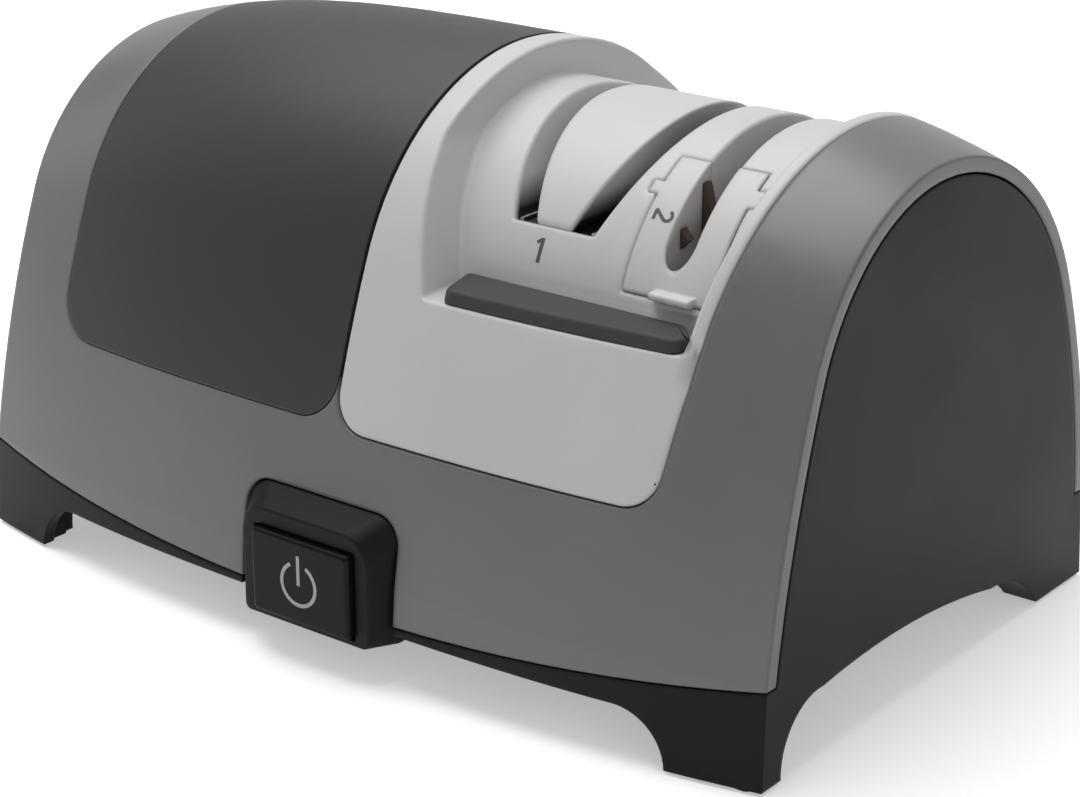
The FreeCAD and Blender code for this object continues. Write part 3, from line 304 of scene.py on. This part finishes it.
FINISHES = {
    "grey_shell": moulded("shell_satin_grey", SHELL_GREY, 0.34, specular=0.5, edge=0.0014),
    "grip_charcoal": soft_touch("cover_soft_charcoal", GRIP_CHARCOAL, 0.46),
    # The deck's slots get painted shade, darker the deeper they go.
    "light_grey": moulded("deck_satin_light_grey", DECK_GREY, 0.38, mottle=0.025, edge=0.0012,
                          painted_slot_shade=True),
    "black_plastic": moulded("base_matt_black", BASE_BLACK, 0.46, grain=3800.0, depth=0.00004,
                             specular=0.16, edge=0.001),
    "button_black": moulded("button_smooth_black", BUTTON_BLACK, 0.34, grain=6000.0, specular=0.12),
    "pad_rubber": moulded("rest_pad_rubber", PAD_CHARCOAL, 0.62, grain=3000.0, depth=0.00006),
    "foot_rubber": moulded("foot_rubber_black", FOOT_BLACK, 0.8, grain=2500.0, depth=0.00008),
    "ceramic": bonded_grain("stone_brown_ceramic", STONE_BROWN, 5200.0, 0.55),
    "abrasive": bonded_grain("wheel_bonded_grain", WHEEL_GREY, 3600.0, 0.8),
    "steel": turned_steel("steel_turned", STEEL_GREY, 0.34),
    "spring_steel": turned_steel("steel_spring_wire", WIRE_GREY, 0.25, lines=(60, 900, 900)),
    "lamination": stacked_sheet("motor_sheet_stack", SHEET_GREY),
    "winding": wound_wire("coil_enamelled_wire", COPPER),
    "die_cast": cast_metal("bracket_cast_alloy", CAST_GREY, 0.48),
    "bronze": cast_metal("bush_sintered_bronze", BRONZE, 0.45),
    "white_plastic": moulded("nylon_white", NYLON_WHITE, 0.5, mottle=0.03),
    "lead_insulation": moulded("lead_soft_black", LEAD_BLACK, 0.55, grain=2600.0),
    "mark_light_grey": moulded("mark_light_grey", MARK_LIGHT, 0.45, mottle=0.02, edge=0.0),
    "mark_dark_grey": moulded("mark_dark_grey", MARK_DARK, 0.5, mottle=0.04, edge=0.0),
}

slot_of = {part["node"]: part["material_slot"] for part in frame["record"]["subparts"]}
for node_name, piece in frame["nodes"].items():
    piece.data.materials.clear()
    piece.data.materials.append(FINISHES[slot_of[node_name]])


# The body's front, the same arch as the part's: an arc from the crest, then a flatter flank arc
# tangent to it. The depths, the arch and the join's angle are those of the section at the ends.

HALF_LENGTH, CREST, END_CREST, CREST_POWER = 110.0, 123.1, 112.1, 3.62
FLOOR_DEPTH, SHOULDER_DEPTH, SHOULDER_HEIGHT = 64.0, 62.5, 21.9
BOW, BOW_POWER = 9.5, 2.7
ARCH, JOIN_ANGLE = 50.2, math.radians(68.9)


def front_arcs(x):
    """The section's two arcs at each x: hub height, radius and last angle of the crest arc, then
    centre and radius of the flank arc.

    The crest falls towards the ends with the share of the half length raised to CREST_POWER. The
    depths of the join and the shoulder grow by the bow, whose part over 1 is BOW over FLOOR_DEPTH
    at the middle and fades with the share raised to BOW_POWER. The join's height over the shoulder
    grows with the crest's. The crest arc is level at the crest and goes through the join, so its
    radius is the sum of the squares of the join's depth and drop, divided by twice the drop. The
    flank arc leaves the join in the same direction and ends at the shoulder, so its radius is the
    square of the chord between them, divided by twice how far the chord goes inwards at the join.
    """
    share = np.abs(x) / HALF_LENGTH
    crest = CREST - (CREST - END_CREST) * share ** CREST_POWER
    stretch = (crest - SHOULDER_HEIGHT) / (END_CREST - SHOULDER_HEIGHT)
    bow = 1 + BOW / FLOOR_DEPTH * (1 - share ** BOW_POWER)
    join_y = ARCH * math.sin(JOIN_ANGLE) * bow
    end_join = END_CREST - ARCH * (1 - math.cos(JOIN_ANGLE))
    join_z = SHOULDER_HEIGHT + (end_join - SHOULDER_HEIGHT) * stretch
    drop = crest - join_z
    radius = (join_y ** 2 + drop ** 2) / (2 * drop)
    out_y, out_z = join_y / radius, (join_z - crest + radius) / radius
    chord_y, chord_z = SHOULDER_DEPTH * bow - join_y, SHOULDER_HEIGHT - join_z
    flank = (chord_y ** 2 + chord_z ** 2) / (-2 * (out_y * chord_y + out_z * chord_z))
    last = np.arctan2(out_y, out_z)
    return crest - radius, radius, last, join_y - out_y * flank, join_z - out_z * flank, flank


def front_y(x, z, inset):
    """Y of the body's front at each x where it is z high, drawn in by inset along its normal."""
    hub, radius, last, centre_y, centre_z, flank = front_arcs(x)
    on_crest = z >= hub + radius * np.cos(last)
    reach = np.where(on_crest, radius, flank)
    lean = np.arccos(np.clip((z - np.where(on_crest, hub, centre_z)) / reach, -1, 1))
    return -(np.where(on_crest, 0.0, centre_y) + (reach - inset) * np.sin(lean))


# Making of pieces. Points closer together than MERGED metres become one.

MERGED = 1e-7


def placed(name, mesh, finish_name, body):
    """A piece from its mesh, on its body."""
    mesh.materials.append(FINISHES[finish_name])
    piece = bpy.data.objects.new(name, mesh)
    bpy.context.scene.collection.objects.link(piece)
    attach(piece, body)
    return piece


def smoothed(piece):
    """Gives the piece smooth shading that leans towards its larger faces."""
    piece.data.polygons.foreach_set("use_smooth", [True] * len(piece.data.polygons))
    shading = piece.modifiers.new("shading", "WEIGHTED_NORMAL")
    shading.keep_sharp = False


def closed_tube(name, points, finish_name, body):
    """A piece from its sections (sections, corners, 3) in millimetres, with both ends shut and
    every face turned outwards."""
    sections, corners = points.shape[:2]
    number = np.arange(sections * corners).reshape(sections, corners)
    following = np.roll(number, -1, axis=1)
    faces = np.stack([number[:-1], following[:-1], following[1:], number[1:]], -1).reshape(-1, 4).tolist()
    faces += [number[0][::-1].tolist(), number[-1].tolist()]
    mesh = bpy.data.meshes.new(name)
    mesh.from_pydata((points.reshape(-1, 3) * MM).tolist(), [], faces)
    work = bmesh.new()
    work.from_mesh(mesh)
    bmesh.ops.remove_doubles(work, verts=work.verts, dist=MERGED)
    bmesh.ops.recalc_face_normals(work, faces=work.faces)
    work.to_mesh(mesh)
    work.free()
    piece = placed(name, mesh, finish_name, body)
    return piece


# Faces that meet at less than FLAT join up, and edges sharper than SHARP are rounded. Edges beyond
# RIM_DEPTH to front or rear, between RIM_LOW and RIM_HIGH, are the ledge's: going right, their
# rounding fades over RIM_FADE and is gone at RIM_END. FACE_DEPTH is how far behind its foremost
# point a copy's front face may lie.
FLAT, SHARP = math.radians(0.4), math.radians(32)
RIM_DEPTH, RIM_LOW, RIM_HIGH = 41.0, 74.0, 85.0
RIM_END, RIM_FADE = 76.0, 9.0
FACE_DEPTH = 0.2


def softened(name, node_name, width, finish_name, body="root", sink=0.0):
    """A merged copy of a CAD node whose edges are rounded by width millimetres, and by less and
    less where the ledge runs out into the deck's narrow right rim. Where sink isn't 0, the
    foremost face goes back by sink, so that a mark can lie on it within the node's own box."""
    work = bmesh.new()
    work.from_mesh(frame["nodes"][node_name].data)
    bmesh.ops.remove_doubles(work, verts=work.verts, dist=MERGED)
    bmesh.ops.dissolve_limit(work, angle_limit=FLAT, verts=work.verts, edges=work.edges)
    foremost = min(vertex.co.y for vertex in work.verts)
    for vertex in work.verts:
        if sink and vertex.co.y < foremost + FACE_DEPTH * MM:
            vertex.co.y += sink * MM
    weight = work.edges.layers.float.new("bevel_weight_edge")
    for edge in work.edges:
        middle = (edge.verts[0].co + edge.verts[1].co) / 2 / MM
        by_rim = abs(middle.y) > RIM_DEPTH and RIM_LOW < middle.z < RIM_HIGH
        share = min(1.0, max(0.0, (RIM_END - middle.x) / RIM_FADE)) if by_rim else 1.0
        if edge.is_manifold and edge.calc_face_angle() > SHARP:
            edge[weight] = share
    mesh = bpy.data.meshes.new(name)
    work.to_mesh(mesh)
    work.free()
    piece = placed(name, mesh, finish_name, body)
    rounding = piece.modifiers.new("rounding", "BEVEL")
    rounding.limit_method = "WEIGHT"
    rounding.width = width * MM
    rounding.segments = 4
    rounding.use_clamp_overlap = False
    smoothed(piece)
    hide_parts(node_name)


def bent_outline(corners, reaches):
    """A closed outline: at each corner a parabola that starts and ends reach before and after it,
    and leans on it. A reach of 0 keeps the corner as one point."""
    corners = np.asarray(corners, float)
    before, after = np.roll(corners, 1, axis=0), np.roll(corners, -1, axis=0)
    t = np.linspace(0, 1, 9)[:, None]
    parts = []
    for corner, last, following, reach in zip(corners, before, after, reaches):
        if reach == 0:
            parts.append(corner[None])
            continue
        start = corner + (last - corner) * reach / np.linalg.norm(last - corner)
        stop = corner + (following - corner) * reach / np.linalg.norm(following - corner)
        parts.append((1 - t) ** 2 * start + 2 * t * (1 - t) * corner + t ** 2 * stop)
    return np.concatenate(parts)


# The rest pad: the round of its top edge, the height and inset of its foot, how far it stays behind
# the body's front, the slant of its left end, the cut at its rear right corner, the x of the points
# along its front, and how far each corner is rounded, from the left rear by way of the front.
PAD_ROUND, PAD_FOOT, PAD_FOOT_INSET, PAD_SETBACK = 0.8, 0.6, 0.25, 0.15
PAD_SLANT, PAD_CUT = 3.4, 4.6
PAD_FRONT = (36.0, 48.0, 60.0, 68.0)
PAD_REACHES = (2.0, 2.2, 0, 0, 0, 0, 2.8, 1.4, 1.6)


def rest_pad():
    """The blade rest: one outline carried up, drawn in near the top by a quarter round. Its front
    edge follows the body's form at each height."""
    low, high = (np.array(corner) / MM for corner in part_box("blade_rest_pad"))
    left, right, back = low[0], high[0], high[1]
    turn = np.linspace(0, math.pi / 2, 7)
    top = high[2] - PAD_ROUND + PAD_ROUND * np.sin(turn)
    heights = np.concatenate([[low[2], low[2] + PAD_FOOT], top])
    insets = np.concatenate([[PAD_FOOT_INSET, 0.0], PAD_ROUND - PAD_ROUND * np.cos(turn)])
    x = np.array([left + PAD_SLANT, *PAD_FRONT])
    rows = []
    for z, inset in zip(heights, insets):
        y = front_y(x, z, PAD_SETBACK)
        right_y = y[-1] + (right - x[-1]) * (y[-1] - y[-2]) / (x[-1] - x[-2])
        corners = [(left, back), *zip(x, y), (right, right_y), (right, back - PAD_CUT),
                   (right - PAD_CUT, back)]
        outline = bent_outline(corners, PAD_REACHES)
        along = np.roll(outline, -1, axis=0) - np.roll(outline, 1, axis=0)
        along /= np.linalg.norm(along, axis=1)[:, None]
        inward = np.stack([-along[:, 1], along[:, 0]], -1)
        rows.append(np.column_stack([outline + inward * inset, np.full(len(outline), z)]))
    piece = closed_tube("rest_pad", np.array(rows), "pad_rubber", "root")
    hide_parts("blade_rest_pad")
    smoothed(piece)


# Marks: thin inlays that lie on the faces they mark. The power symbol's ring is open at the top,
# between its two angles in degrees, and its bar is measured from the ring's centre.

BUTTON_FACE, MARK_DEPTH = -77.5, 0.12
MARK_X, MARK_Z = 1.4, 19.5
RING_RADIUS, RING_WIDTH, RING_START, RING_STOP = 4.75, 0.85, 117, 423
BAR_HALF_WIDTH, BAR_LOW, BAR_HIGH = 0.43, -0.2, 6.6


def power_mark():
    """The power symbol on the button: a box section carried along the ring, and an upright bar."""
    turn = np.linspace(math.radians(RING_START), math.radians(RING_STOP), 72)[:, None]
    around = RING_RADIUS + np.array([-0.5, 0.5, 0.5, -0.5]) * RING_WIDTH
    back, face = BUTTON_FACE + MARK_DEPTH, BUTTON_FACE
    ring = np.zeros((len(turn), 4, 3))
    ring[..., 0] = MARK_X + np.cos(turn) * around
    ring[..., 1] = (back, back, face, face)
    ring[..., 2] = MARK_Z + np.sin(turn) * around
    closed_tube("power_ring", ring, "mark_light_grey", "button")
    bar = np.zeros((2, 4, 3))
    bar[..., 0] = MARK_X + np.array([-1, 1, 1, -1]) * BAR_HALF_WIDTH
    bar[..., 1] = [[back], [face]]
    bar[..., 2] = MARK_Z + np.array([BAR_LOW, BAR_LOW, BAR_HIGH, BAR_HIGH])
    closed_tube("power_bar", bar, "mark_light_grey", "button")


# How far a number stands out of the hump, and how far it goes in.
STROKE_LIFT, STROKE_SINK = 0.07, 0.1


def hump_mark(name, path, centre_x, turn, body, width, lean=0.0):
    """A number's stroke on the hump: a thin box section carried along path, a line of points across
    and up in millimetres that is turned by lean degrees in its own plane. It is wrapped round the
    hump's axis at centre_x, turn degrees to the front of the top."""
    across, up = np.asarray(path, float).T
    tilt = math.radians(lean)
    line = np.stack([across * math.cos(tilt) - up * math.sin(tilt),
                     across * math.sin(tilt) + up * math.cos(tilt)], -1)
    run = np.gradient(line, axis=0)
    run /= np.linalg.norm(run, axis=1)[:, None]
    beside = np.stack([-run[:, 1], run[:, 0]], -1) * width / 2
    radius = HUMP_RADIUS + np.array([STROKE_LIFT, STROKE_LIFT, -STROKE_SINK, -STROKE_SINK])
    corners = np.stack([line + beside, line - beside, line - beside, line + beside], 1)
    angle = math.radians(turn) - corners[..., 1] / HUMP_RADIUS
    points = np.stack([centre_x + corners[..., 0], -radius * np.sin(angle),
                       HUMP_AXIS + radius * np.cos(angle)], -1)
    closed_tube(name, points, "mark_dark_grey", body)


def stroke(corners, count=40):
    """Points evenly spread along straight runs between corners."""
    corners = np.asarray(corners, float)
    length = np.concatenate([[0], np.cumsum(np.linalg.norm(np.diff(corners, axis=0), axis=1))])
    share = np.linspace(0, length[-1], count)
    return np.stack([np.interp(share, length, corners[:, 0]), np.interp(share, length, corners[:, 1])], -1)


# Where the numbers stand on the hump: x, and degrees to the front of the top. The 2 lies on its
# side, and is drawn larger and then scaled.
ONE_X, ONE_TURN = 36.4, 64.2
TWO_X, TWO_TURN, TWO_LEAN, TWO_SCALE = 61.9, 47.5, -90, 0.86
BOWL_RADIUS, BOWL_HEIGHT = 1.25, 1.35


def numbers():
    """The 1 in front of the coarse slots and the 2 on the cartridge."""
    hump_mark("number_one_stem", stroke([(0, -2.6), (0, 2.6)]), ONE_X, ONE_TURN, "root", width=0.85)
    flag = stroke([(-1.3, 1.5), (-0.1, 2.35)], 8)
    hump_mark("number_one_flag", flag, ONE_X, ONE_TURN, "root", width=0.7)
    turn = np.radians(np.linspace(165, -38, 26))
    bowl = np.stack([BOWL_RADIUS * np.cos(turn), BOWL_HEIGHT + BOWL_RADIUS * np.sin(turn)], -1)
    diagonal = stroke([(0.9, 0.42), (-1.25, -2.15)], 12)
    foot = stroke([(-1.25, -2.2), (1.35, -2.2)], 12)
    two = TWO_SCALE * np.concatenate([bowl, diagonal, foot])
    hump_mark("number_two", two, TWO_X, TWO_TURN, "cartridge", width=0.72, lean=TWO_LEAN)


rest_pad()
softened("button_rounded", "power_button", 0.9, "button_black", "button", sink=0.06)
softened("deck_rounded", "sharpening_deck", 0.75, "light_grey")
softened("guide_wedge_rounded", "coarse_guide_wedge", 0.6, "light_grey")
softened("cartridge_rounded", "fine_cartridge", 0.2, "light_grey", "cartridge")
power_mark()
numbers()


# Stage, in metres: a pale floor that curves up behind, three soft lamps, and the camera.

FLOOR_GLOW = 0.40
FLOOR_HALF_WIDTH, FLOOR_FRONT, WALL_TOP = 6.0, -4.0, 5.0
BEND_START, BEND_RADIUS = 1.6, 0.8


def studio_floor():
    """A sheet carried along X: flat below, a quarter circle, then an upright wall behind. To the
    camera and in reflections it also glows a little."""
    turn = np.linspace(0, math.pi / 2, 16)
    deep = np.concatenate([[FLOOR_FRONT, 0.0, 1.2], BEND_START + BEND_RADIUS * np.sin(turn),
                           [BEND_START + BEND_RADIUS]])
    high = np.concatenate([[0.0, 0.0, 0.0], BEND_RADIUS - BEND_RADIUS * np.cos(turn), [WALL_TOP]])
    points = np.zeros((len(deep), 2, 3))
    points[:, :, 0] = (-FLOOR_HALF_WIDTH, FLOOR_HALF_WIDTH)
    points[:, :, 1] = deep[:, None]
    points[:, :, 2] = high[:, None]
    number = np.arange(len(deep) * 2).reshape(len(deep), 2)
    faces = np.stack([number[:-1, 0], number[:-1, 1], number[1:, 1], number[1:, 0]], 1)
    mesh = bpy.data.meshes.new("studio_floor")
    mesh.from_pydata(points.reshape(-1, 3).tolist(), [], faces.tolist())
    mesh.polygons.foreach_set("use_smooth", [True] * len(faces))
    floor = bpy.data.objects.new("studio_floor", mesh)
    bpy.context.scene.collection.objects.link(floor)
    material, tree, shader, where = finish("floor_paper_white", (0.9, 0.9, 0.9), 0.9, specular=0.1)
    tree.links.new(shades(tree, noise(tree, where, scale=4.0), (0.89, 0.89, 0.89), (0.91, 0.91, 0.91)),
                   shader.inputs["Base Color"])
    ray = tree.nodes.new("ShaderNodeLightPath")
    seen = maths(tree, "MAXIMUM", ray.outputs["Is Camera Ray"], ray.outputs["Is Glossy Ray"])
    shader.inputs["Emission Color"].default_value = (1, 1, 1, 1)
    tree.links.new(between(tree, seen, 0.0, FLOOR_GLOW, 0.0, 1.0), shader.inputs["Emission Strength"])
    mesh.materials.append(material)


def lamp(name, place, aim, size, power):
    """A rectangular soft lamp at place, facing aim."""
    data = bpy.data.lights.new(name, "AREA")
    data.shape = "RECTANGLE"
    data.size, data.size_y = size
    data.energy = power
    item = bpy.data.objects.new(name, data)
    item.location = place
    item.rotation_mode = "QUATERNION"
    item.rotation_quaternion = (Vector(aim) - Vector(place)).to_track_quat("-Z", "Y")
    bpy.context.scene.collection.objects.link(item)


# The camera's turn and tilt in degrees, its lens in millimetres, the height that its place is
# measured from, and that place: back along its view, to its right and up.
CAMERA_TURN, CAMERA_TILT, CAMERA_LENS = 37.977, 20.691, 88.717
CAMERA_HEIGHT = 0.060
CAMERA_BACK, CAMERA_RIGHT, CAMERA_UP = 0.60543, 0.004461, -0.020383


def camera():
    """The photograph's view: turned to the right of the front, and looking down."""
    turn, tilt = math.radians(CAMERA_TURN), math.radians(CAMERA_TILT)
    back = Vector((math.sin(turn) * math.cos(tilt), -math.cos(turn) * math.cos(tilt), math.sin(tilt)))
    right = Vector((math.cos(turn), math.sin(turn), 0))
    up = back.cross(right)
    data = bpy.data.cameras.new("camera")
    data.lens = CAMERA_LENS
    data.sensor_width = 36.0
    data.clip_start, data.clip_end = 0.01, 20.0
    item = bpy.data.objects.new("camera", data)
    place = Vector((0, 0, CAMERA_HEIGHT)) + back * CAMERA_BACK + right * CAMERA_RIGHT
    item.location = place + up * CAMERA_UP
    item.rotation_mode = "QUATERNION"
    item.rotation_quaternion = Matrix((right, up, back)).transposed().to_quaternion()
    bpy.context.scene.collection.objects.link(item)
    bpy.context.scene.camera = item


world = bpy.data.worlds.new("studio")
world.use_nodes = True
world.node_tree.nodes["Background"].inputs["Color"].default_value = (1, 1, 1, 1)
world.node_tree.nodes["Background"].inputs["Strength"].default_value = 0.30
bpy.context.scene.world = world
bpy.context.scene.view_settings.view_transform = "Standard"
studio_floor()
lamp("lamp_above", (-0.30, 0.10, 1.3), (0, 0, 0.05), (1.1, 1.1), power=16.0)
lamp("lamp_front_right", (1.2, -0.9, 0.7), (0, 0, 0.06), (0.8, 0.8), power=2.2)
lamp("lamp_left", (-1.3, -0.4, 0.6), (0, 0, 0.06), (0.7, 0.9), power=1.8)
camera()
